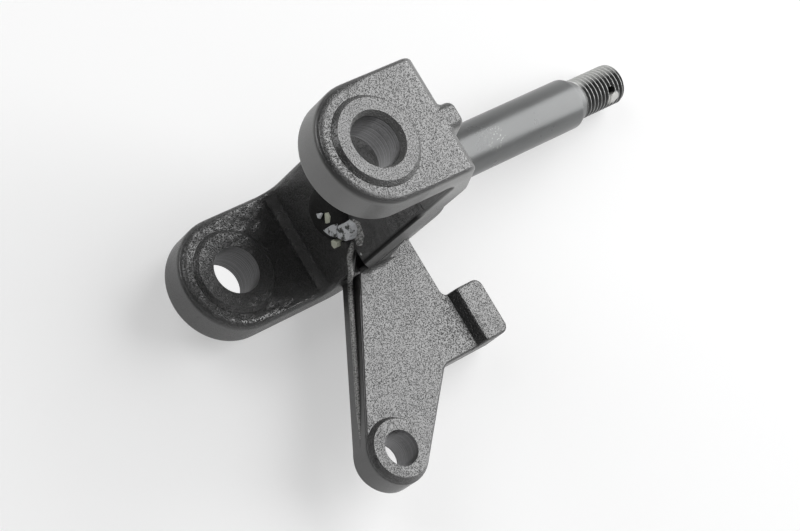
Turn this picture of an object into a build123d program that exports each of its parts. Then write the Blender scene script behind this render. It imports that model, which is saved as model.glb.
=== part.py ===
from build123d import *
from math import acos, atan2, cos, hypot, radians, sin, tan
import os

# Steering knuckle: a cast yoke that turns on a vertical kingpin, with a spindle for the
# wheel on one side and a steering arm on the other.
# Millimetres. Z is the kingpin axis, X is the spindle axis, and the origin is where they cross.

# Driving dimensions
yoke_gap = 115.0            # clear height between the two kingpin ears
ear_thickness = 21.0        # ear height over its two machined rings
ear_width = 54.4            # width of the ears and of the web, and diameter of the ears' noses
kingpin_bore = 22.2         # diameter of the bore through each ear
spindle_height = 31.3       # spindle axis above the lower ear's upper ring
shaft_diameter = 25.0       # bearing seat of the spindle
thread_diameter = 20.0      # M20 end for the hub nut
web_inner_x = 37.4          # kingpin axis to the web's inner face
web_thickness = 19.6

# Rings round the kingpin bores
ring_height = 2.0
ring_radius = 18.2
ring_slope = 45.0
lead_in_depth = 3.3         # tapered mouth of the upper bore, for pressing a bush in
lead_in_width = 1.7

# Yoke corners
inner_corner = 7.5          # fillet between an ear and the web
outer_corner = 12.0
bevel_drop = 35.0           # height of the sloping back above the web
bevel_corner = 4.0
edge_round = 2.2            # cast edges of the yoke

# Spindle boss and back rib
boss_radius = 22.0
boss_end_x = 92.0
boss_edge = 5.0
boss_root = 2.0             # fillet where the boss leaves the web
boss_foot = 3.0             # fillets round the boss's underside
rib_width = 12.0
rib_y = -2.6
rib_top_x = 44.0
rib_foot_x = 86.0
rib_edge = 2.0
rib_round = 3.5             # upright edges of the rib
rib_root = 2.0

# Steering arm
arm_thickness = 13.6
arm_top_z = -20.3
arm_outer_x = 83.1          # straight outer edge of the arm
arm_root_x = 48.4           # inner edge of the arm where it leaves the web
arm_shoulder_x = 64.0       # where the arm starts to narrow towards the eye
shoulder_round = 6.0
notch_round = 3.0
ledge_width = 2.4           # step along the arm's inner edge, left by the parting of the mould
ledge_height = 8.0
ledge_round = 1.0
eye_x, eye_y = 17.7, -105.0
eye_bore = 16.5
eye_radius = 15.8
eye_height = 19.8
eye_ring_radius = 13.6
eye_ring_slope = 30.0

# Raised pad that meets the axle's lock stop
pad_x0, pad_x1 = 86.6, 102.4
pad_y0, pad_y1 = -81.8, -53.6
pad_rise = 5.0
pad_corner = 4.0
pad_edge = 1.2
riser_run = 1.4             # half the length of the slope up to the pad
pad_crest = 2.5             # rounding above it
arm_edge = 1.2

# Pocket in the web's inner corner over the arm's root, and the lip that closes its front
pocket_top_z = 2.0
pocket_depth_x = 17.5
pocket_inner_y = -19.5
lip_thickness = 3.0
lip_stand = 1.2             # how far the lip's cast strip stands off the web
lip_strip = (
    (-14.0, 1.5), (-18.6, -0.6), (-22.0, -5.7), (-26.2, -11.6),
    (-26.2, -19.5), (-21.0, -13.5), (-15.6, -8.3), (-11.0, -4.0),
)

# Spindle
press_diameter = 28.0       # seat pressed into the web and the boss
shoulder_x = 190.5          # end of the bearing seat
shoulder_taper = 4.9
shaft_end_x = 223.6
end_chamfer = 1.2
cap_height = 4.6            # headed inner end of the shaft
cap_radius = 12.5
cap_flat = 6.5              # radius of the head's flat end
cap_bulge = 0.7             # fullness of the head's rounded edge
centre_radius = 2.4         # turning centre in the head
centre_depth = 3.4
cotter_hole = 4.2
cotter_x = 214.0
cotter_angle = 30.0         # hole's lean from the vertical, seen along the spindle

lower_ring_z = -spindle_height
head_x = web_inner_x - cap_height
upper_ring_z = lower_ring_z + yoke_gap + ear_thickness
ear_body = ear_thickness - 2 * ring_height
upper_top_z = upper_ring_z - ring_height
lower_bottom_z = lower_ring_z - ear_thickness + ring_height
web_outer_x = web_inner_x + web_thickness
half_width = ear_width / 2
bore_radius = kingpin_bore / 2
arm_bottom_z = arm_top_z - arm_thickness
pad_top_z = arm_top_z + pad_rise
eye_ring_height = (eye_height - arm_thickness) / 2


def eye_tangent(x, y, side):
    """Point of the eye's outline touched by a line from (x, y); side is 1 or -1."""
    reach = hypot(x - eye_x, y - eye_y)
    angle = atan2(y - eye_y, x - eye_x) + side * acos(eye_radius / reach)
    return (eye_x + eye_radius * cos(angle), eye_y + eye_radius * sin(angle))


def edges_at(part, x=None, y=None, z=None):
    """Edges of a part whose midpoints lie within the given (low, high) limits."""
    near = 0.15
    found = []
    for edge in part.edges():
        middle = edge @ 0.5
        limits = ((middle.X, x), (middle.Y, y), (middle.Z, z))
        if all(v is None or v[0] - near <= c <= v[1] + near for c, v in limits):
            found.append(edge)
    return found


with BuildPart() as knuckle_body:
    # Yoke: the C-shaped side view, cut to the plan of the ears
    with BuildSketch(Plane.XZ) as side_view:
        with BuildLine():
            Polyline(
                (-half_width, upper_top_z),
                (web_inner_x, upper_top_z),
                (web_outer_x, upper_top_z - bevel_drop),
                (web_outer_x, lower_bottom_z),
                (-half_width, lower_bottom_z),
                (-half_width, lower_bottom_z + ear_body),
                (web_inner_x, lower_bottom_z + ear_body),
                (web_inner_x, upper_top_z - ear_body),
                (-half_width, upper_top_z - ear_body),
                close=True,
            )
        make_face()
        corners = side_view.vertices().filter_by_position(Axis.X, web_inner_x - 1, web_outer_x + 1)
        inside = corners.filter_by_position(Axis.Z, lower_bottom_z + 1, upper_top_z - 1)
        fillet(inside.filter_by_position(Axis.X, web_inner_x - 1, web_inner_x + 1), inner_corner)
        outside = side_view.vertices().filter_by_position(Axis.X, web_outer_x - 1, web_outer_x + 1)
        fillet(outside, outer_corner)
        top = side_view.vertices().filter_by_position(Axis.X, web_inner_x - 1, web_inner_x + 1)
        fillet(top.filter_by_position(Axis.Z, upper_top_z - 1, upper_top_z + 1), bevel_corner)
    extrude(amount=half_width + 1, both=True)
    with BuildSketch(Plane.XY.offset(lower_bottom_z - 1)):
        Circle(half_width)
        with Locations(((web_outer_x + 5) / 2, 0)):
            Rectangle(web_outer_x + 5, ear_width)
    extrude(amount=upper_top_z - lower_bottom_z + 2, mode=Mode.INTERSECT)
    # Rounded cast edges, all along both flanks and round the noses
    flank_edges = [
        e for e in knuckle_body.edges()
        if abs(abs((e @ 0.5).Y) - half_width) < 0.01 or (e @ 0.5).X < -half_width + 0.01
    ]
    fillet(flank_edges, edge_round)
    # Rib down the sloping back, flush with the upper ear's top
    with BuildPart(mode=Mode.PRIVATE) as rib:
        with BuildSketch(Plane.XZ.offset(-rib_y)) as rib_view:
            with BuildLine():
                Polyline(
                    (web_inner_x - 8, upper_top_z),
                    (rib_top_x, upper_top_z),
                    (rib_foot_x, boss_radius - 2),
                    (rib_foot_x, 0),
                    (web_outer_x - 3, 0),
                    (web_inner_x + 2, upper_top_z - bevel_drop),
                    close=True,
                )
            make_face()
            tip = rib_view.vertices().filter_by_position(Axis.X, rib_top_x - 0.1, rib_top_x + 0.1)
            fillet(tip, rib_edge)
        extrude(amount=rib_width / 2, both=True)
        upright = [
            e for e in rib.edges()
            if (e @ 0.5).X > rib_top_x - 2 and (e @ 0.5).Z > boss_radius - 3 and abs((e % 0.5).Y) < 0.1
        ]
        fillet(upright, rib_round)
    add(rib.part)
    # Boss round the spindle's root, with upright sides down to the arm
    with BuildSketch(Plane.YZ.offset(web_outer_x - 2)):
        Circle(boss_radius)
        with Locations((0, arm_bottom_z / 2)):
            Rectangle(2 * boss_radius, -arm_bottom_z)
    extrude(amount=boss_end_x - web_outer_x + 2)
    boss_face = knuckle_body.faces().sort_by(Axis.X)[-1]
    fillet(boss_face.edges(), boss_edge)
    rib_side = rib_width / 2 + 0.3
    rib_span = (rib_y - rib_side, rib_y + rib_side)
    rib_rise = (boss_radius - boss_edge, upper_top_z - 2)
    fillet(edges_at(knuckle_body, (rib_top_x, boss_end_x), rib_span, rib_rise), rib_root)
    # Steering arm: a flat plate from the web's flank out to the tie-rod eye
    with BuildSketch(Plane.XY.offset(arm_bottom_z)) as arm_plan:
        with BuildLine():
            Polyline(
                (arm_outer_x, 0),
                (arm_outer_x, pad_y1),
                (pad_x1, pad_y1),
                (pad_x1, pad_y0),
                (arm_shoulder_x, pad_y0),
                eye_tangent(arm_shoulder_x, pad_y0, -1),
                (eye_x, eye_y),
                eye_tangent(arm_root_x, -half_width, 1),
                (arm_root_x, -half_width),
                (arm_root_x, 0),
                close=True,
            )
        make_face()
        notch = arm_plan.vertices().filter_by_position(Axis.X, arm_outer_x - 0.1, arm_outer_x + 0.1)
        fillet(notch.filter_by_position(Axis.Y, pad_y1 - 0.1, pad_y1 + 0.1), notch_round)
        corners = arm_plan.vertices()
        fillet(corners.filter_by_position(Axis.X, arm_shoulder_x - 0.1, arm_shoulder_x + 0.1), shoulder_round)
        fillet(arm_plan.vertices().filter_by_position(Axis.X, pad_x1 - 0.1, pad_x1 + 0.1), pad_corner)
        with Locations((eye_x, eye_y)):
            Circle(eye_radius)
    extrude(amount=arm_thickness)
    outboard = (eye_y - eye_radius, -half_width - 1)
    fillet(edges_at(knuckle_body, None, outboard, (arm_top_z, arm_top_z)), arm_edge)
    # Ledge along the arm's inner edge
    ledge_root_x = arm_root_x - ledge_width
    with BuildSketch(Plane.XY.offset(arm_bottom_z)):
        with BuildLine():
            Polyline(
                eye_tangent(arm_root_x, -half_width, 1),
                (ledge_root_x, -half_width),
                (ledge_root_x, 0),
                (arm_shoulder_x, 0),
                (arm_root_x, -half_width),
                close=True,
            )
        make_face()
    extrude(amount=ledge_height)
    # Pocket in the web's inner corner, over the arm's root
    with BuildSketch(Plane.XZ.offset(-pocket_inner_y)):
        with BuildLine():
            Polyline(
                (web_inner_x - 2, pocket_top_z + 2),
                (web_inner_x, pocket_top_z),
                (web_inner_x + pocket_depth_x, arm_top_z),
                (web_inner_x - 2, arm_top_z),
                close=True,
            )
        make_face()
    extrude(amount=half_width + pocket_inner_y + 2, mode=Mode.SUBTRACT)
    # Lip that closes the pocket's front, and the cast strip on its face
    with BuildSketch(Plane.YZ.offset(web_inner_x)):
        with BuildLine():
            Polyline(
                (pocket_inner_y + 1, pocket_top_z - 2),
                (-half_width + 0.8, arm_top_z + 9),
                (-half_width + 0.8, arm_top_z - 4),
                (pocket_inner_y + 1, arm_top_z - 4),
                close=True,
            )
        make_face()
    extrude(amount=lip_thickness)
    with BuildSketch(Plane.YZ.offset(web_inner_x - lip_stand)):
        with BuildLine():
            Polyline(*lip_strip, close=True)
        make_face()
    extrude(amount=lip_stand + 1)
    # Pad that meets the axle's lock stop, raised above the arm on a sloping riser
    with BuildPart(mode=Mode.PRIVATE) as pad:
        with BuildSketch(Plane.XY.offset(arm_bottom_z)) as pad_plan:
            with Locations(((pad_x0 - riser_run + pad_x1) / 2, (pad_y0 + pad_y1) / 2)):
                Rectangle(pad_x1 - pad_x0 + riser_run, pad_y1 - pad_y0)
            fillet(pad_plan.vertices().filter_by_position(Axis.X, pad_x1 - 1, pad_x1 + 1), pad_corner)
        extrude(amount=arm_thickness + pad_rise)
        with BuildSketch(Plane.XZ.offset(-pad_y1)) as pad_view:
            with BuildLine():
                Polyline(
                    (pad_x0 - riser_run, arm_bottom_z),
                    (pad_x0 - riser_run, arm_top_z),
                    (pad_x0 + riser_run, pad_top_z),
                    (pad_x1, pad_top_z),
                    (pad_x1, arm_bottom_z),
                    close=True,
                )
            make_face()
            crest = pad_view.vertices().filter_by_position(Axis.X, pad_x0 + 1, pad_x0 + riser_run + 0.1)
            fillet(crest, pad_crest)
        extrude(amount=pad_y1 - pad_y0, mode=Mode.INTERSECT)
        rim = edges_at(pad, (pad_x0 + riser_run, pad_x1), None, (pad_top_z, pad_top_z))
        fillet([e for e in rim if abs((e % 0.5).Y) < 0.99 or (e @ 0.5).X > pad_x1 - 0.1], pad_edge)
    add(pad.part)
    # Cast fillets: boss on the web and on the arm, rib, pad and the arm's own edges
    boss_length = (web_outer_x + 1, boss_end_x)
    fillet(edges_at(knuckle_body, boss_length, (0, boss_radius), (arm_bottom_z, arm_bottom_z)), boss_foot)
    boss_sides = (-boss_radius, boss_radius)
    root_edges = edges_at(knuckle_body, (web_outer_x, web_outer_x), boss_sides, (arm_top_z + 1, boss_radius))
    on_arm = edges_at(knuckle_body, boss_length, (-boss_radius, -boss_radius), (arm_top_z, arm_top_z))
    fillet(root_edges + on_arm, boss_root)
    fillet(edges_at(knuckle_body, None, outboard, (arm_bottom_z, arm_bottom_z)), arm_edge)
    ledge_z = arm_bottom_z + ledge_height
    fillet(edges_at(knuckle_body, None, outboard, (ledge_z, ledge_z)), ledge_round)
    # Tie-rod eye's machined rings
    for z, way in ((arm_top_z, 1), (arm_bottom_z, -1)):
        with BuildSketch(Plane.XY.offset(z)):
            with Locations((eye_x, eye_y)):
                Circle(eye_ring_radius + eye_ring_height * tan(radians(eye_ring_slope)))
        extrude(amount=way * eye_ring_height, taper=eye_ring_slope)
    # Machined rings on both faces of each ear
    for z, way in (
        (upper_top_z, 1),
        (upper_top_z - ear_body, -1),
        (lower_bottom_z + ear_body, 1),
        (lower_bottom_z, -1),
    ):
        with BuildSketch(Plane.XY.offset(z)):
            Circle(ring_radius + ring_height)
        extrude(amount=way * ring_height, taper=ring_slope)
    # Bores: kingpin, tie-rod stud and spindle
    with Locations((0, 0, (upper_ring_z + lower_ring_z - ear_thickness) / 2)):
        Cylinder(bore_radius, yoke_gap + 2 * ear_thickness + 2, mode=Mode.SUBTRACT)
    with Locations((0, 0, upper_ring_z - lead_in_depth)):
        Cone(
            bore_radius,
            bore_radius + lead_in_width,
            lead_in_depth,
            align=(Align.CENTER, Align.CENTER, Align.MIN),
            mode=Mode.SUBTRACT,
        )
    with Locations((eye_x, eye_y, (arm_top_z + arm_bottom_z) / 2)):
        Cylinder(eye_bore / 2, eye_height + 2, mode=Mode.SUBTRACT)
    with Locations(Plane.YZ.offset((web_inner_x + boss_end_x) / 2)):
        Cylinder(press_diameter / 2, boss_end_x - web_inner_x + 20, mode=Mode.SUBTRACT)


with BuildPart() as spindle_shaft:
    # Turned shaft, from the upset head left by fixing it in the web to the threaded end
    with BuildSketch(Plane.XZ):
        with BuildLine():
            ThreePointArc(
                (web_inner_x, cap_radius),
                (head_x + cap_height * (1 - cap_bulge), cap_flat + (cap_radius - cap_flat) * cap_bulge),
                (head_x, cap_flat),
            )
            Polyline(
                (head_x, cap_flat),
                (head_x, centre_radius),
                (head_x + centre_depth, 0),
                (shaft_end_x, 0),
                (shaft_end_x, thread_diameter / 2 - end_chamfer),
                (shaft_end_x - end_chamfer, thread_diameter / 2),
                (shoulder_x + shoulder_taper, thread_diameter / 2),
                (shoulder_x, shaft_diameter / 2),
                (boss_end_x, shaft_diameter / 2),
                (boss_end_x, press_diameter / 2),
                (web_inner_x, press_diameter / 2),
                (web_inner_x, cap_radius),
            )
        make_face()
    revolve(axis=Axis.X)
    # Hole for the cotter pin of the hub nut
    with Locations(Location((cotter_x, 0, 0), (cotter_angle, 0, 0))):
        Cylinder(cotter_hole / 2, thread_diameter + 2, mode=Mode.SUBTRACT)


knuckle_body.part.label = "knuckle_body"
spindle_shaft.part.label = "spindle_shaft"
os.makedirs("parts", exist_ok=True)
export_step(knuckle_body.part, "parts/knuckle_body.step")
export_step(spindle_shaft.part, "parts/spindle_shaft.step")
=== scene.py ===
import math
import random

import bmesh
import bpy
from mathutils import Matrix, Vector


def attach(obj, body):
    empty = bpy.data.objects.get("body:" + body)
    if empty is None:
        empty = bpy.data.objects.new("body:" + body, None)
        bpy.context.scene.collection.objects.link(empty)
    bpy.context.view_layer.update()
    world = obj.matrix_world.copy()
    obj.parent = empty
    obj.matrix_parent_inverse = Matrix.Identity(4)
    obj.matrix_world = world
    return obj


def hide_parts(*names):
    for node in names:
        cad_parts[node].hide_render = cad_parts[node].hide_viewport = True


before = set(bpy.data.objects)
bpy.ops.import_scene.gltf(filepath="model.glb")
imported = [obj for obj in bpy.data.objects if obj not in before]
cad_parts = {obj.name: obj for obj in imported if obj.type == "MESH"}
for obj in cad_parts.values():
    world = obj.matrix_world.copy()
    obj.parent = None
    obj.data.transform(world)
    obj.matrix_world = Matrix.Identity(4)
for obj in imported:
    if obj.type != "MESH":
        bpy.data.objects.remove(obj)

scene = bpy.context.scene
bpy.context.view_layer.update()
mm = 0.001


# --- Knuckle body -------------------------------------------------------------------------
# The cast yoke, rib, boss and steering arm in one piece, painted glossy black. The kingpin
# bores and the tie-rod eye are bored through the paint and stay bare.
def new_group(name, inputs, outputs):
    """An empty shader group with named inputs (name, kind, default) and outputs."""
    group = bpy.data.node_groups.new(name, "ShaderNodeTree")
    for label, kind, default in inputs:
        socket = group.interface.new_socket(label, in_out="INPUT", socket_type=kind)
        if default is not None:
            socket.default_value = default
    for label, kind in outputs:
        group.interface.new_socket(label, in_out="OUTPUT", socket_type=kind)
    return group, group.nodes.new("NodeGroupInput"), group.nodes.new("NodeGroupOutput")


def node(tree, kind, **settings):
    """A node with its properties set, and its input values given as (socket, value) pairs."""
    made = tree.nodes.new(kind)
    values = settings.pop("values", ())
    for key, value in settings.items():
        setattr(made, key, value)
    for socket, value in values:
        made.inputs[socket].default_value = value
    return made


def feed(tree, target, source):
    """Links a socket to an input, or sets the input to a constant."""
    if isinstance(source, bpy.types.NodeSocket):
        tree.links.new(source, target)
    else:
        target.default_value = source


def maths(tree, operation, *sources):
    """A math node fed by sockets or plain numbers; returns its output."""
    made = node(tree, "ShaderNodeMath", operation=operation)
    for target, source in zip(made.inputs, sources):
        feed(tree, target, source)
    return made.outputs[0]


def joined(tree, operation, first, *others):
    """Several values joined one after another by the same operation."""
    for other in others:
        first = maths(tree, operation, first, other)
    return first


def ramp(tree, source, low, high, to_low=0.0, to_high=1.0):
    """Maps a value from one range to another, clamped."""
    made = node(tree, "ShaderNodeMapRange", clamp=True)
    for number, value in enumerate((source, low, high, to_low, to_high)):
        feed(tree, made.inputs[number], value)
    return made.outputs[0]


def mix_colour(tree, factor, first, second):
    """A blend of two colours, each a socket or a constant; returns its output."""
    made = node(tree, "ShaderNodeMix", data_type="RGBA")
    for number, source in ((0, factor), (6, first), (7, second)):
        feed(tree, made.inputs[number], source)
    return made.outputs[2]


def mix_value(tree, factor, first, second):
    """A blend of two values, each a socket or a constant; returns its output."""
    made = node(tree, "ShaderNodeMix", data_type="FLOAT")
    for number, source in ((0, factor), (2, first), (3, second)):
        feed(tree, made.inputs[number], source)
    return made.outputs[0]


def noise(tree, place, scale, detail, roughness=0.5):
    """The value of a noise texture at a place."""
    made = node(tree, "ShaderNodeTexNoise",
                values=(("Scale", scale), ("Detail", detail), ("Roughness", roughness)))
    tree.links.new(place, made.inputs["Vector"])
    return made.outputs[0]


# Cast skin: fine grains, small pits and a slow waviness under the paint
cast_skin, g_in, g_out = new_group(
    "cast_skin",
    (("Vector", "NodeSocketVector", None), ("Grain size", "NodeSocketFloat", 0.56 * mm),
     ("Pit share", "NodeSocketFloat", 0.35)),
    (("Height", "NodeSocketFloat"), ("Pits", "NodeSocketFloat")),
)
grain_scale = maths(cast_skin, "DIVIDE", 1.0, g_in.outputs["Grain size"])
grain = node(cast_skin, "ShaderNodeTexNoise", values=(("Detail", 2.0), ("Roughness", 0.6)))
cast_skin.links.new(g_in.outputs["Vector"], grain.inputs["Vector"])
cast_skin.links.new(grain_scale, grain.inputs["Scale"])
pits = node(cast_skin, "ShaderNodeTexVoronoi", feature="F1")
cast_skin.links.new(g_in.outputs["Vector"], pits.inputs["Vector"])
cast_skin.links.new(maths(cast_skin, "MULTIPLY", grain_scale, 0.62), pits.inputs["Scale"])
pit_depth = ramp(cast_skin, pits.outputs["Distance"], 0.12, 0.42, 1.0, 0.0)
swell = noise(cast_skin, g_in.outputs["Vector"], 90.0, 2.0)
grit_height = ramp(cast_skin, grain.outputs[0], 0.22, 0.46)
height = maths(cast_skin, "MULTIPLY_ADD", swell, 1.6, grit_height)
sunk = maths(cast_skin, "MULTIPLY", pit_depth, g_in.outputs["Pit share"])
cast_skin.links.new(maths(cast_skin, "SUBTRACT", height, sunk), g_out.inputs["Height"])
cast_skin.links.new(pit_depth, g_out.inputs["Pits"])

# Wear along edges: where the surface turns sharply, broken up by noise
edge_wear, g_in, g_out = new_group(
    "edge_wear",
    (("Vector", "NodeSocketVector", None), ("Width", "NodeSocketFloat", 0.8 * mm),
     ("Amount", "NodeSocketFloat", 0.5)),
    (("Mask", "NodeSocketFloat"),),
)
soft = node(edge_wear, "ShaderNodeBevel", samples=4)
edge_wear.links.new(g_in.outputs["Width"], soft.inputs["Radius"])
flat = node(edge_wear, "ShaderNodeNewGeometry")
turned_by = node(edge_wear, "ShaderNodeVectorMath", operation="DOT_PRODUCT")
edge_wear.links.new(soft.outputs[0], turned_by.inputs[0])
edge_wear.links.new(flat.outputs["Normal"], turned_by.inputs[1])
sharpness = ramp(edge_wear, turned_by.outputs["Value"], 0.97, 0.80)
broken = ramp(edge_wear, noise(edge_wear, g_in.outputs["Vector"], 420.0, 4.0), 0.46, 0.62)
edge_wear.links.new(joined(edge_wear, "MULTIPLY", sharpness, broken, g_in.outputs["Amount"]),
                    g_out.inputs["Mask"])

# Tool marks: fine rings left by boring or turning, by distance along the axis
tool_marks, g_in, g_out = new_group(
    "tool_marks",
    (("Along", "NodeSocketFloat", 0.0), ("Feed", "NodeSocketFloat", 0.45 * mm)),
    (("Height", "NodeSocketFloat"),),
)
line = node(tool_marks, "ShaderNodeTexNoise", noise_dimensions="1D",
            values=(("Scale", 1.0), ("Detail", 3.0)))
in_feeds = maths(tool_marks, "DIVIDE", g_in.outputs["Along"], g_in.outputs["Feed"])
tool_marks.links.new(in_feeds, line.inputs["W"])
tool_marks.links.new(line.outputs[0], g_out.inputs["Height"])


def new_material(name):
    """A material with its node tree and its shader."""
    made = bpy.data.materials.new(name)
    made.use_nodes = True
    return made, made.node_tree, made.node_tree.nodes["Principled BSDF"]


def object_place(tree):
    """The place on the piece, whole and then as its X, Y and Z."""
    place = node(tree, "ShaderNodeTexCoord").outputs["Object"]
    split = node(tree, "ShaderNodeSeparateXYZ")
    tree.links.new(place, split.inputs[0])
    return place, *split.outputs


def use_group(tree, group, socket, source, values=()):
    """A group in a material, with one of its inputs fed by a socket."""
    made = node(tree, "ShaderNodeGroup", node_tree=group, values=values)
    tree.links.new(source, made.inputs[socket])
    return made


def distance_to(tree, place, point):
    """Distance of a place from a point given in millimetres."""
    made = node(tree, "ShaderNodeVectorMath", operation="DISTANCE",
                values=((1, Vector(point) * mm),))
    tree.links.new(place, made.inputs[0])
    return made.outputs["Value"]


def axis_distance(tree, first, second, from_first=0.0, from_second=0.0):
    """Distance from an axis, by the two coordinates square to it."""
    offsets = (maths(tree, "SUBTRACT", first, from_first),
               maths(tree, "SUBTRACT", second, from_second))
    squares = [maths(tree, "MULTIPLY", offset, offset) for offset in offsets]
    return maths(tree, "SQRT", maths(tree, "ADD", *squares))


def add_bump(tree, shader, height, strength, distance):
    """Gives a shader relief from a height, through a Bump node."""
    bump = node(tree, "ShaderNodeBump", values=(("Strength", strength), ("Distance", distance)))
    tree.links.new(height, bump.inputs["Height"])
    tree.links.new(bump.outputs[0], shader.inputs["Normal"])


eye_axis = (17.7 * mm, -105 * mm)
chip_places = ((45.6, -13.7, 78.5), (45.0, -15.4, 78.5), (47.9, -21.9, 78.5),
               (50.4, -22.4, 78.5), (37.4, -23.1, 3.7))

black_paint, tree, shader = new_material("black_paint")
place, x, y, z = object_place(tree)
skin = use_group(tree, cast_skin, "Vector", place)
wear = use_group(tree, edge_wear, "Vector", place, (("Amount", 0.35),))
marks = use_group(tree, tool_marks, "Along", z)
from_kingpin = axis_distance(tree, x, y)
from_eye = axis_distance(tree, x, y, *eye_axis)
facing = node(tree, "ShaderNodeSeparateXYZ")
tree.links.new(node(tree, "ShaderNodeTexCoord").outputs["Normal"], facing.inputs[0])
level = maths(tree, "ABSOLUTE", facing.outputs[2])

# Bored walls stay bare: the two kingpin bores and the tie-rod eye
bare = maths(tree, "MAXIMUM", ramp(tree, from_kingpin, 11.15 * mm, 11.3 * mm, 1.0, 0.0),
             ramp(tree, from_eye, 8.3 * mm, 8.45 * mm, 1.0, 0.0))

# How rough the skin is. The level faces are roughest and the drawn walls are smoother
on_level = ramp(tree, level, 0.80, 0.97, 0.14, 1.0)
web_face = maths(tree, "MULTIPLY", ramp(tree, facing.outputs[0], -0.8, -0.97),
                 ramp(tree, x, 25 * mm, 35 * mm, 0.0, 0.8))
arm_root = joined(tree, "MULTIPLY", ramp(tree, y, -18.5 * mm, -19.5 * mm),
                  ramp(tree, y, -42 * mm, -36 * mm), ramp(tree, z, 4 * mm, -4 * mm, 0.0, 0.8),
                  ramp(tree, x, 36 * mm, 38 * mm))
pad_step = joined(tree, "MULTIPLY", ramp(tree, y, -50 * mm, -52 * mm),
                  ramp(tree, x, 81 * mm, 83 * mm), ramp(tree, level, 0.97, 0.90, 1.0, 1.8))
# The sloping sides of the rings round the bores stay rough
on_ring = maths(tree, "MAXIMUM", ramp(tree, from_kingpin, 20 * mm, 21.5 * mm, 1.0, 0.0),
                ramp(tree, from_eye, 15.2 * mm, 16.2 * mm, 1.0, 0.0))
ring_side = joined(tree, "MULTIPLY", on_ring, ramp(tree, level, 0.2, 0.5, 0.0, 1.6),
                   ramp(tree, level, 0.97, 0.90))
# Inside the yoke the skin is rougher and glitters
inside = joined(tree, "MULTIPLY",
                ramp(tree, maths(tree, "ABSOLUTE", z), 58.3 * mm, 57.8 * mm, 0.0, 3.0),
                ramp(tree, x, -30 * mm, 10 * mm, 0.35, 1.0), ramp(tree, x, 40 * mm, 38 * mm),
                ramp(tree, y, -29 * mm, -28 * mm))
grainy = joined(tree, "MAXIMUM", on_level, web_face, arm_root, pad_step, ring_side,
                maths(tree, "MULTIPLY", inside, 0.2))
grainy = maths(tree, "MULTIPLY", grainy, maths(tree, "ADD", inside, 1.0))

# Painted light: the outer walls of the ears are made lighter grey for the light they catch, most
# of all on the upper one
rubbed_and_painted_light = maths(tree, "MULTIPLY", ramp(tree, level, 0.75, 0.45),
               ramp(tree, z, 56 * mm, 75 * mm, 0.05, 1.0))
# Small chips down to the metal, on the upper ear and at the web's edge
chips = joined(tree, "MAXIMUM", *[
    ramp(tree, distance_to(tree, place, chip), 0.5 * mm, 0.8 * mm, 1.0, 0.0)
    for chip in chip_places
])
# Painted shade: gloss and reflection are taken off in the corner between the web and its flank,
# where shade falls. On the shaft's head the gloss and reflection are taken down as well
painted_corner_shade = joined(tree, "MULTIPLY", ramp(tree, x, 39.5 * mm, 41.5 * mm, 1.0, 0.0),
                   ramp(tree, x, 37.0 * mm, 37.8 * mm), ramp(tree, y, -24.6 * mm, -26.0 * mm),
                   ramp(tree, z, 50 * mm, 56 * mm, 1.0, 0.0), ramp(tree, z, -18 * mm, -14 * mm))
on_head = joined(tree, "MULTIPLY", ramp(tree, x, 37.2 * mm, 37.0 * mm),
                 ramp(tree, axis_distance(tree, y, z), 12.4 * mm, 12.8 * mm, 0.9, 0.0),
                 ramp(tree, x, 28 * mm, 30 * mm))
painted_shade_and_dull_head = maths(tree, "MAXIMUM", painted_corner_shade, on_head)

mottle = noise(tree, place, 34.0, 4.0)
paint_colour = mix_colour(tree, mottle, (0.007, 0.007, 0.0065, 1), (0.015, 0.0152, 0.015, 1))
paint_colour = mix_colour(tree, wear.outputs["Mask"], paint_colour, (0.20, 0.20, 0.19, 1))
# Painted light: the ears' walls lighter grey
paint_colour = mix_colour(tree, rubbed_and_painted_light, paint_colour, (0.10, 0.10, 0.098, 1))
paint_colour = mix_colour(tree, chips, paint_colour, (0.9, 0.9, 0.88, 1))
wall_colour = mix_colour(tree, ramp(tree, marks.outputs[0], 0.4, 0.62),
                         (0.09, 0.09, 0.092, 1), (0.26, 0.26, 0.265, 1))
tree.links.new(mix_colour(tree, bare, paint_colour, wall_colour), shader.inputs["Base Color"])
tree.links.new(mix_value(tree, bare, 0.0, 0.85), shader.inputs["Metallic"])
gloss = maths(tree, "ADD", ramp(tree, mottle, 0.3, 0.7, 0.27, 0.40),
              maths(tree, "MULTIPLY", skin.outputs["Pits"], 0.12))
# Painted shade in the web's corner: rough and with little reflection; the shaft's head is dulled
# the same way
gloss = mix_value(tree, painted_shade_and_dull_head, gloss, 0.8)
tree.links.new(mix_value(tree, bare, gloss, 0.36), shader.inputs["Roughness"])
tree.links.new(ramp(tree, painted_shade_and_dull_head, 0.0, 1.0, 0.5, 0.05), shader.inputs["Specular IOR Level"])
shader.inputs["IOR"].default_value = 2.0
# The round noses of the ears fall away a little before their edge
from_nose = axis_distance(tree, maths(tree, "MINIMUM", x, 0.0), y)
fall = ramp(tree, from_nose, 22.8 * mm, 26.0 * mm)
fall = joined(tree, "MULTIPLY", fall, fall, ramp(tree, x, 0.0, 14 * mm, 4.5, 0.0))
skin_height = maths(tree, "SUBTRACT",
                    maths(tree, "MULTIPLY", skin.outputs["Height"], grainy), fall)
relief = mix_value(tree, bare, skin_height, maths(tree, "MULTIPLY", marks.outputs[0], 0.5))
add_bump(tree, shader, relief, 1.0, 0.29 * mm)

for body_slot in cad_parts["knuckle_body"].material_slots:
    body_slot.material = black_paint

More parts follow.
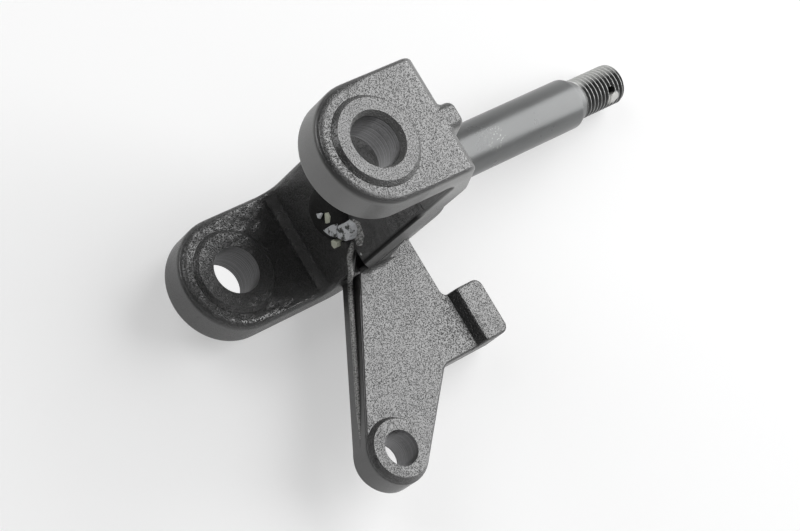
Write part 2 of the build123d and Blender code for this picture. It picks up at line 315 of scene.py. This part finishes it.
# --- Spindle shaft ------------------------------------------------------------------------
# Turned steel pressed through the web: bearing seat, taper and M20 x 2.5 thread, with a thin
# satin coat. Its inner end is upset into a round head with the turning centre in it.
web_x = 37.4 * mm
boss_x = 92 * mm
seat_end = 190.5 * mm
thread_start = 195.4 * mm
tip_x = 223.6 * mm
press_radius = 14 * mm
seat_radius = 12.5 * mm
thread_radius = 10 * mm
turn_steps = 96
head_depth = 4.6 * mm
head_flat = 6.5 * mm
head_rounding = 6.0 * mm
rounding_steps = 8
cotter_x = 214 * mm
cotter_radius = 2.1 * mm
cotter_lean = math.radians(30)

thread_nodes = bpy.data.node_groups.new("helical_thread", "GeometryNodeTree")
for label, kind, default in (
    ("Major radius", "Float", thread_radius), ("Pitch", "Float", 2.5 * mm),
    ("Depth", "Float", 1.35 * mm), ("Start", "Float", thread_start),
    ("Length", "Float", tip_x - thread_start), ("End chamfer", "Float", 1.2 * mm),
    ("Stations", "Int", 200), ("Turn steps", "Int", turn_steps),
    ("Filed spot", "Vector", (215.6 * mm, -8.4 * mm, 5.9 * mm)),
):
    socket = thread_nodes.interface.new_socket(label, in_out="INPUT",
                                               socket_type="NodeSocket" + kind)
    socket.default_value = default
thread_nodes.interface.new_socket("Material", in_out="INPUT", socket_type="NodeSocketMaterial")
thread_nodes.interface.new_socket("Mesh", in_out="OUTPUT", socket_type="NodeSocketGeometry")
t_in = thread_nodes.nodes.new("NodeGroupInput").outputs
t_out = thread_nodes.nodes.new("NodeGroupOutput")
link = thread_nodes.links.new


def round_axis(tree, along_x, angle, from_axis):
    """A point at a distance from the X axis, at an angle about it."""
    made = node(tree, "ShaderNodeCombineXYZ")
    feed(tree, made.inputs[0], along_x)
    for number, turned in ((1, "COSINE"), (2, "SINE")):
        feed(tree, made.inputs[number],
             maths(tree, "MULTIPLY", maths(tree, turned, angle), from_axis))
    return made.outputs[0]


# A flat grid of stations along and steps around
grid = node(thread_nodes, "GeometryNodeMeshGrid", values=(("Size Y", 1.0),))
link(t_in["Length"], grid.inputs["Size X"])
link(t_in["Stations"], grid.inputs["Vertices X"])
link(maths(thread_nodes, "ADD", t_in["Turn steps"], 1), grid.inputs["Vertices Y"])
on_grid = node(thread_nodes, "ShaderNodeSeparateXYZ")
link(thread_nodes.nodes.new("GeometryNodeInputPosition").outputs[0], on_grid.inputs[0])
along = maths(thread_nodes, "MULTIPLY_ADD", t_in["Length"], 0.5, on_grid.outputs[0])
turn = maths(thread_nodes, "ADD", on_grid.outputs[1], 0.5)
angle = maths(thread_nodes, "MULTIPLY", turn, 2 * math.pi)
x_here = maths(thread_nodes, "ADD", along, t_in["Start"])
# The groove winds with the pitch and runs in and out at the ends
turns = maths(thread_nodes, "DIVIDE", along, t_in["Pitch"])
phase = maths(thread_nodes, "SUBTRACT", turns, turn)
groove = ramp(thread_nodes, maths(thread_nodes, "PINGPONG", phase, 0.5), 0.06, 0.44)
from_end = maths(thread_nodes, "SUBTRACT", t_in["Length"], along)
ends = maths(thread_nodes, "MULTIPLY", ramp(thread_nodes, along, 0.3 * mm, 3.2 * mm),
             ramp(thread_nodes, from_end, 0.4 * mm, 1.6 * mm))
groove = maths(thread_nodes, "MULTIPLY", groove, ends)
# It is filed away round the cotter hole's mouth
to_filed = node(thread_nodes, "ShaderNodeVectorMath", operation="DISTANCE")
link(round_axis(thread_nodes, x_here, angle, t_in["Major radius"]), to_filed.inputs[0])
link(t_in["Filed spot"], to_filed.inputs[1])
whole = ramp(thread_nodes, to_filed.outputs["Value"], 2.6 * mm, 4.6 * mm)
cut = joined(thread_nodes, "MULTIPLY", groove, whole, t_in["Depth"])
radius = maths(thread_nodes, "SUBTRACT", t_in["Major radius"], cut)
end_radius = maths(thread_nodes, "SUBTRACT", t_in["Major radius"], t_in["End chamfer"])
radius = maths(thread_nodes, "MINIMUM", radius,
               maths(thread_nodes, "ADD", from_end, end_radius))
wrap = node(thread_nodes, "GeometryNodeSetPosition")
link(grid.outputs["Mesh"], wrap.inputs["Geometry"])
link(round_axis(thread_nodes, x_here, angle, radius), wrap.inputs["Position"])
weld = node(thread_nodes, "GeometryNodeMergeByDistance", values=(("Distance", 0.002 * mm),))
real = node(thread_nodes, "GeometryNodeRealizeInstances")
coat = node(thread_nodes, "GeometryNodeSetMaterial")
link(wrap.outputs[0], weld.inputs["Geometry"])
link(weld.outputs[0], real.inputs[0])
link(real.outputs[0], coat.inputs["Geometry"])
link(t_in["Material"], coat.inputs["Material"])
link(coat.outputs[0], t_out.inputs[0])

satin_coat, tree, shader = new_material("satin_shaft")
place, x, y, z = object_place(tree)
marks = use_group(tree, tool_marks, "Along", x, (("Feed", 0.35 * mm),))
wear = use_group(tree, edge_wear, "Vector", place, (("Width", 0.4 * mm), ("Amount", 0.6)))
cloud = noise(tree, place, 60.0, 5.0)
# The coat is rubbed off round the cotter hole's mouth, where the thread is filed flat
from_mouth = maths(tree, "MULTIPLY_ADD", cloud, 2.4 * mm,
                   distance_to(tree, place, (214.8, -8.6, 5.0)))
rubbed_and_painted_light = ramp(tree, from_mouth, 4.6 * mm, 5.4 * mm, 1.0, 0.0)
# A scuffed patch part way along the seat
from_scuff = distance_to(tree, place, (131.6, -1.9, 12.3))
scuffed = maths(tree, "MULTIPLY", ramp(tree, from_scuff, 3 * mm, 8 * mm, 1.0, 0.0),
                ramp(tree, noise(tree, place, 900.0, 2.0), 0.60, 0.66))
bare = joined(tree, "MAXIMUM", rubbed_and_painted_light, wear.outputs["Mask"],
              maths(tree, "MULTIPLY", scuffed, 0.35))
coat_colour = mix_colour(tree, cloud, (0.10, 0.103, 0.103, 1), (0.135, 0.138, 0.138, 1))
# The thread is painted brighter: its crests light against darker grooves, a painted highlight
# and painted shade, and its far side light grey, a painted sheen where the light grazes it
on_thread = ramp(tree, x, thread_start - 0.2 * mm, thread_start + 0.4 * mm)
painted_crest_highlight = maths(tree, "MULTIPLY", ramp(tree, axis_distance(tree, y, z), 9.7 * mm, 9.95 * mm),
              ramp(tree, x, 196.5 * mm, 198 * mm))
thread_colour = mix_colour(tree, painted_crest_highlight, (0.075, 0.076, 0.075, 1), (0.30, 0.305, 0.30, 1))
painted_sheen_side = ramp(tree, maths(tree, "MULTIPLY_ADD", cloud, 3 * mm, y), 3.6 * mm, 8.0 * mm)
thread_colour = mix_colour(tree, painted_sheen_side, thread_colour, (0.66, 0.665, 0.65, 1))
coat_colour = mix_colour(tree, on_thread, coat_colour, thread_colour)
tree.links.new(mix_colour(tree, bare, coat_colour, (0.52, 0.52, 0.50, 1)),
               shader.inputs["Base Color"])
# Bare metal and the painted sheen side are less metallic
bare_and_sheen_side = maths(tree, "MAXIMUM", bare, maths(tree, "MULTIPLY", painted_sheen_side, on_thread))
tree.links.new(mix_value(tree, bare_and_sheen_side, 0.45, 0.15), shader.inputs["Metallic"])
tree.links.new(ramp(tree, cloud, 0.3, 0.7, 0.26, 0.36), shader.inputs["Roughness"])
add_bump(tree, shader, marks.outputs[0], 0.25, 0.02 * mm)


def piece_from(name, mesh, materials=()):
    """An object at the origin in the scene, with its mesh and materials."""
    made = bpy.data.objects.new(name, mesh)
    scene.collection.objects.link(made)
    for material in materials:
        mesh.materials.append(material)
    return made


def mesh_from(name, source):
    """A mesh with what a bmesh holds; the bmesh is freed."""
    mesh = bpy.data.meshes.new(name)
    source.to_mesh(mesh)
    source.free()
    return mesh


def plain_copy(source, name):
    """A plain mesh of an object with its modifiers worked out; the object is removed."""
    bpy.context.view_layer.update()
    finished = source.evaluated_get(bpy.context.evaluated_depsgraph_get())
    mesh = bpy.data.meshes.new_from_object(finished)
    mesh.name = name
    bpy.data.objects.remove(source)
    return mesh


def smooth(mesh, sharp_degrees=None):
    """Shades a mesh smooth, apart from edges sharper than an angle."""
    for polygon in mesh.polygons:
        polygon.use_smooth = True
    if sharp_degrees is not None:
        mesh.set_sharp_from_angle(angle=math.radians(sharp_degrees))


def lathe(profile, steps):
    """A mesh turned about the X axis from (x, radius) points; a radius of 0 closes an end."""
    made = bmesh.new()
    angles = [2 * math.pi * step / steps for step in range(steps)]
    rings = []
    for along_x, from_axis in profile:
        rings.append([
            made.verts.new((along_x, from_axis * math.cos(a), from_axis * math.sin(a)))
            for a in (angles if from_axis else angles[:1])
        ])
    for first, second in zip(rings, rings[1:]):
        for step in range(steps):
            after = (step + 1) % steps
            corners = [first[step % len(first)], second[step % len(second)],
                       second[after % len(second)], first[after % len(first)]]
            made.faces.new(list(dict.fromkeys(corners)))
    return made


threaded = piece_from("threaded", bpy.data.meshes.new("threaded"))
screw = threaded.modifiers.new("thread", "NODES")
screw.node_group = thread_nodes
for item in thread_nodes.interface.items_tree:
    if item.name == "Material":
        screw[item.identifier] = satin_coat
thread_mesh = plain_copy(threaded, "thread")

head_x = web_x - head_depth
profile = [(head_x + 3.4 * mm, 0), (head_x, 2.4 * mm), (head_x, head_flat)]
for step in range(1, rounding_steps + 1):
    lean = math.radians(90 * step / rounding_steps)
    profile.append((head_x + head_depth * (1 - math.cos(lean)),
                    head_flat + head_rounding * math.sin(lean)))
profile += [
    (web_x, press_radius), (boss_x, press_radius), (boss_x, seat_radius),
    (boss_x + 60 * mm, seat_radius), (seat_end - 0.8 * mm, seat_radius),
    (seat_end, seat_radius - 0.1 * mm), (thread_start, thread_radius),
]
blank = lathe(profile, turn_steps)
blank.from_mesh(thread_mesh)
tip_ring = [v for v in blank.verts if v.co.x > tip_x - 0.001 * mm]
tip_ring.sort(key=lambda v: math.atan2(v.co.z, v.co.y))
blank.faces.new(tip_ring)
bmesh.ops.remove_doubles(blank, verts=blank.verts, dist=0.005 * mm)
bmesh.ops.recalc_face_normals(blank, faces=blank.faces)
shaft_blank = piece_from("shaft_blank", mesh_from("shaft_blank", blank), (satin_coat,))

drill = bmesh.new()
bmesh.ops.create_cone(drill, cap_ends=True, segments=32, radius1=cotter_radius,
                      radius2=cotter_radius, depth=30 * mm)
drill_mesh = mesh_from("drill", drill)
drill_mesh.transform(Matrix.Translation((cotter_x, 0, 0)) @ Matrix.Rotation(cotter_lean, 4, "X"))
drill_piece = piece_from("drill", drill_mesh, (satin_coat,))
hole = shaft_blank.modifiers.new("hole", "BOOLEAN")
hole.object = drill_piece
hole.operation = "DIFFERENCE"
hole.solver = "EXACT"
spindle_mesh = plain_copy(shaft_blank, "spindle")
bpy.data.objects.remove(drill_piece)
smooth(spindle_mesh, 32)
# The head was painted with the body
spindle_mesh.materials.append(black_paint)
head_slot = len(spindle_mesh.materials) - 1
for polygon in spindle_mesh.polygons:
    polygon.material_index = head_slot if polygon.center.x < web_x else 0
spindle = piece_from("spindle", spindle_mesh)
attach(spindle, "root")
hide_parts("spindle_shaft")

# --- Peened metal round the head ----------------------------------------------------------
# Metal upset over the web where the shaft is fixed: broken facets of bare steel beside the
# head, a smear and a burr beyond them, a blob of pale filler below, and a chip of it and a
# broken rim at the turning centre.
bare_steel, tree, shader = new_material("bare_steel")
place = object_place(tree)[0]
grit = noise(tree, place, 700.0, 4.0)
steel = mix_colour(tree, grit, (0.60, 0.61, 0.63, 1), (0.86, 0.88, 0.90, 1))
sooty = ramp(tree, noise(tree, place, 260.0, 4.0, 0.7), 0.47, 0.41)
tree.links.new(mix_colour(tree, sooty, steel, (0.07, 0.075, 0.07, 1)),
               shader.inputs["Base Color"])
shader.inputs["Metallic"].default_value = 0.1
tree.links.new(ramp(tree, grit, 0.3, 0.7, 0.35, 0.55), shader.inputs["Roughness"])
add_bump(tree, shader, grit, 0.5, 0.15 * mm)

filler, tree, shader = new_material("pale_filler")
grit = noise(tree, object_place(tree)[0], 500.0, 3.0)
tree.links.new(mix_colour(tree, grit, (0.52, 0.53, 0.43, 1), (0.78, 0.80, 0.66, 1)),
               shader.inputs["Base Color"])
shader.inputs["Roughness"].default_value = 0.6
add_bump(tree, shader, grit, 0.5, 0.2 * mm)

# Worn, streaked light-grey paint; on the parting bead its light grey is also a painted highlight
worn_paint_and_highlight, tree, shader = new_material("worn_paint_and_highlight")
stretch = node(tree, "ShaderNodeMapping",
               values=(("Scale", (1.0, 1.0, 0.35)), ("Rotation", (0.6, 0.0, 0.0))))
tree.links.new(object_place(tree)[0], stretch.inputs["Vector"])
streaks = noise(tree, stretch.outputs[0], 1900.0, 2.0)
tree.links.new(mix_colour(tree, ramp(tree, streaks, 0.40, 0.62),
                          (0.13, 0.13, 0.127, 1), (0.5, 0.5, 0.49, 1)),
               shader.inputs["Base Color"])
tree.links.new(ramp(tree, streaks, 0.3, 0.7, 0.5, 0.3), shader.inputs["Roughness"])
add_bump(tree, shader, streaks, 0.6, 0.25 * mm)


def lump(name, material, seed, back_x, front_x, inset, outline):
    """A broken-faced lump on the web: an outline of (y, z) points in mm, its front drawn in."""
    rng = random.Random(seed)
    middle_y = sum(p[0] for p in outline) / len(outline)
    middle_z = sum(p[1] for p in outline) / len(outline)
    made = bmesh.new()
    for share, at_x in ((1.0, back_x), (1.0 - inset * 0.4, (back_x + front_x) / 2),
                        (1.0 - inset, front_x)):
        for point_y, point_z in outline:
            jitter = rng.uniform(-0.35, 0.35)
            made.verts.new((
                (at_x + jitter * 0.5) * mm,
                (middle_y + (point_y - middle_y) * share + jitter) * mm,
                (middle_z + (point_z - middle_z) * share - jitter) * mm,
            ))
    hull = bmesh.ops.convex_hull(made, input=made.verts)
    buried = {g for g in hull["geom_interior"] if isinstance(g, bmesh.types.BMVert)}
    bmesh.ops.delete(made, geom=list(buried), context="VERTS")
    bmesh.ops.recalc_face_normals(made, faces=made.faces)
    piece = piece_from(name, mesh_from(name, made), (material,))
    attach(piece, "root")


lump("peened_facet", bare_steel, 3, 38.4, 32.6, 0.12, (
    (-4.6, -5.5), (-5.0, 2.0), (-6.8, 6.9), (-8.5, 3.9), (-11.3, -0.2), (-8.8, -3.3),
    (-6.6, -4.7)))
lump("peened_block", bare_steel, 11, 38.4, 33.4, 0.25, (
    (-6.4, 5.4), (-7.8, 9.6), (-11.2, 12.5), (-13.8, 11.5), (-16.2, 7.8), (-15.8, 3.5),
    (-13.3, 1.5), (-11.5, -1.4), (-8.1, 1.4)))
lump("filler_blob", filler, 5, 38.2, 33.4, 0.2, (
    (-10.2, -5.3), (-10.9, -2.7), (-13.1, -1.3), (-15.0, -3.9), (-14.3, -6.6), (-12.0, -7.0)))
lump("filler_chip", filler, 7, 33.8, 32.2, 0.12, (
    (0.6, 2.7), (0.0, 5.0), (-2.5, 5.0), (-4.1, 1.7), (-3.5, -0.6), (-2.7, 1.9), (-1.5, 2.8)))
lump("centre_rim", bare_steel, 9, 33.4, 32.3, 0.2, (
    (2.7, -2.9), (2.1, -0.5), (1.2, 0.4), (1.0, -1.4), (0.1, -2.9), (1.1, -3.8)))
lump("burr", black_paint, 4, 38.2, 35.0, 0.3, (
    (-12.9, -2.1), (-15.0, 2.4), (-17.0, 2.2), (-17.2, -1.9), (-15.0, -4.4)))
lump("smear", worn_paint_and_highlight, 6, 37.8, 37.1, 0.15, (
    (-8.3, 12.1), (-12.0, 15.6), (-17.9, 12.8), (-21.1, 7.4), (-19.0, 4.0), (-14.7, 5.9)))

# --- Parting bead -------------------------------------------------------------------------
# The thin rounded flash that the mould left along the ledge of the arm and up the lip beside
# the head; part of the casting, with its paint worn. Its light grey also stands for the
# highlight along its crest: painted highlight.
bead_run = (
    (37.0, -16.6, 3.2), (37.2, -18.1, 0.6), (37.2, -19.5, -2.0), (37.0, -21.3, -4.7),
    (37.4, -23.8, -7.6), (38.2, -26.0, -11.0), (41.6, -27.0, -18.2), (45.4, -28.0, -25.4),
    (41.9, -34.3, -25.9), (36.7, -43.1, -25.9), (26.7, -60.0, -25.9), (14.8, -80.0, -25.9),
    (7.2, -93.0, -25.9),
)
bead_line = bpy.data.curves.new("parting_bead", "CURVE")
bead_line.dimensions = "3D"
bead_line.bevel_depth = 1.3 * mm
bead_line.bevel_resolution = 4
bead_line.resolution_u = 6
bead_line.use_fill_caps = True
spline = bead_line.splines.new("BEZIER")
spline.bezier_points.add(len(bead_run) - 1)
for point, where in zip(spline.bezier_points, bead_run):
    point.co = Vector(where) * mm
    point.handle_left_type = point.handle_right_type = "AUTO"
for point in (spline.bezier_points[0], spline.bezier_points[-1]):
    point.radius = 0.45
bead_source = bpy.data.objects.new("bead_source", bead_line)
scene.collection.objects.link(bead_source)
bead_mesh = plain_copy(bead_source, "parting_bead")
smooth(bead_mesh)
bead = piece_from("parting_bead", bead_mesh, (worn_paint_and_highlight,))
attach(bead, "root")

# --- Arm root fillet ----------------------------------------------------------------------
# The hollow where the top of the steering arm runs up into the web: along the web's flank it
# is a small fillet, and behind the web the flank sweeps down to the arm in a longer curve.
# Cast with the knuckle and painted with it.

# These are in millimetres, until the points are made
first_x, last_x, station, station_count = 49.7, 71.2, 0.5, 44
inner_y, flank_y = -25.0, -27.25
arm_top, sunk_z = -20.3, -21.0
full_size = 3.6
sweep_from, sweep_start, sweep_length, sweep_height = 56, 56.8, 14.6, 31
fillet_steps = 8

fillet = bmesh.new()
rows = []
for step in range(station_count):
    at_x = first_x + station * step
    size = full_size * min(1.0, 0.1 + (at_x - first_x) / 5, 0.12 + (last_x - at_x) / 9)
    top = arm_top + size
    if at_x >= sweep_from:
        gone = max(0.0, at_x - sweep_start) / sweep_length
        top = max(top + 0.05, arm_top + sweep_height * (1 - gone) ** 2.2)
    section = [(inner_y, top), (flank_y, top)]
    for turn in range(fillet_steps + 1):
        lean = math.radians(90 * turn / fillet_steps)
        section.append((flank_y - size * (1 - math.cos(lean)),
                        arm_top + size * (1 - math.sin(lean))))
    section += [(flank_y - size, sunk_z), (inner_y, sunk_z)]
    rows.append([fillet.verts.new((at_x * mm, at_y * mm, at_z * mm)) for at_y, at_z in section])
for first, second in zip(rows, rows[1:]):
    for step in range(len(first)):
        after = (step + 1) % len(first)
        fillet.faces.new((first[step], first[after], second[after], second[step]))
fillet.faces.new(rows[0])
fillet.faces.new(rows[-1][::-1])
bmesh.ops.recalc_face_normals(fillet, faces=fillet.faces)
fillet_mesh = mesh_from("arm_root_fillet", fillet)
smooth(fillet_mesh, 40)
arm_root = piece_from("arm_root_fillet", fillet_mesh, (black_paint,))
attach(arm_root, "root")

# --- Floor, lamps and camera --------------------------------------------------------------
# A pale table, two soft boxes, and a pale surround that darkens behind the camera. The knuckle
# lies as it does when put down, on the web's lower corner and the spindle's tip, so the table
# leans against its frame. The first box is where the level faces mirror it.
touching = Vector((47.1 * mm, 0.0, -50.1 * mm))
reach = 6.0
along_floor = Vector((0.9748, 0.0, 0.2231)) * reach
across_floor = Vector((0.0, 1.0, 0.0)) * reach
floor_corners = [touching + along_floor * i + across_floor * j
                 for i, j in ((-1, -1), (1, -1), (1, 1), (-1, 1))]
floor_mesh = bpy.data.meshes.new("floor")
floor_mesh.from_pydata([c[:] for c in floor_corners], [], [(0, 1, 2, 3)])
floor_paint, tree, shader = new_material("floor")
shader.inputs["Base Color"].default_value = (0.53, 0.53, 0.53, 1)
shader.inputs["Roughness"].default_value = 0.7
shader.inputs["Emission Color"].default_value = (1, 1, 1, 1)
rays = node(tree, "ShaderNodeLightPath")
# The table shows bright through the lower kingpin bore. The lamps don't make this patch: it is
# drawn here, for camera rays only, over the shadow in that place
under_bore = distance_to(tree, object_place(tree)[0], (11.6, 3.4, -58.2))
table_glow = ramp(tree, under_bore, 9 * mm, 20 * mm, 0.85, 0.41)
seen = maths(tree, "MULTIPLY", rays.outputs["Is Camera Ray"], table_glow)
mirrored = maths(tree, "MULTIPLY", rays.outputs["Is Glossy Ray"], 0.38)
tree.links.new(maths(tree, "MAXIMUM", seen, mirrored), shader.inputs["Emission Strength"])
floor = piece_from("floor", floor_mesh, (floor_paint,))


def soft_box(name, towards, distance, size, watts):
    """A square area lamp at a distance in a direction, facing the origin."""
    data = bpy.data.lights.new(name, "AREA")
    data.shape = "SQUARE"
    data.size = size
    data.energy = watts
    lamp = bpy.data.objects.new(name, data)
    scene.collection.objects.link(lamp)
    outward = Vector(towards).normalized()
    turned = outward.to_track_quat("Z", "Y").to_matrix().to_4x4()
    lamp.matrix_world = Matrix.Translation(outward * distance) @ turned


soft_box("mirror_box", (0.75, -0.06, 0.64), 2.4, 3.0, 109)
soft_box("far_box", (-0.45, 0.75, 0.65), 2.4, 1.5, 18)

world = bpy.data.worlds.new("studio")
scene.world = world
world.use_nodes = True
tree = world.node_tree
rays = node(tree, "ShaderNodeLightPath")
surround = tree.nodes["Background"]
surround.inputs["Color"].default_value = (1, 1, 1, 1)
aim = node(tree, "ShaderNodeTexCoord").outputs["Generated"]


def towards_share(tree, aim, direction):
    """How far an aim into the surround points in a direction."""
    made = node(tree, "ShaderNodeVectorMath", operation="DOT_PRODUCT", values=((1, direction),))
    tree.links.new(aim, made.inputs[0])
    return made.outputs["Value"]


# Darker behind the camera, lighter beyond the spindle's tip, and plain white to the camera
behind_camera = ramp(tree, towards_share(tree, aim, (-0.55, 0.65, 0.52)), 0.0, 0.7, 0.42, 0.05)
beyond_tip = ramp(tree, towards_share(tree, aim, (0.97, 0.24, 0.0)), 0.74, 0.90, 0.0, 0.7)
shade = maths(tree, "ADD", behind_camera, beyond_tip)
tree.links.new(mix_value(tree, rays.outputs["Is Camera Ray"], shade, 1.0),
               surround.inputs["Strength"])

sensor_width = 36.0
focal_pixels = 2264.36
image_width = 800
camera_data = bpy.data.cameras.new("camera")
camera = bpy.data.objects.new("camera", camera_data)
scene.collection.objects.link(camera)
camera_data.sensor_width = sensor_width
camera_data.lens = sensor_width * focal_pixels / image_width
camera_data.clip_start = 0.05
camera_data.clip_end = 50
right = Vector((0.7194, -0.5112, 0.4703))
up = Vector((0.355, 0.8525, 0.3836))
back = Vector((-0.597, -0.109, 0.7948))
stand = Vector((-0.54611, -0.14464, 0.80068))
turned = Matrix((right, up, back)).transposed().to_4x4()
camera.matrix_world = Matrix.Translation(stand) @ turned
scene.camera = camera
scene.view_settings.view_transform = "Standard"
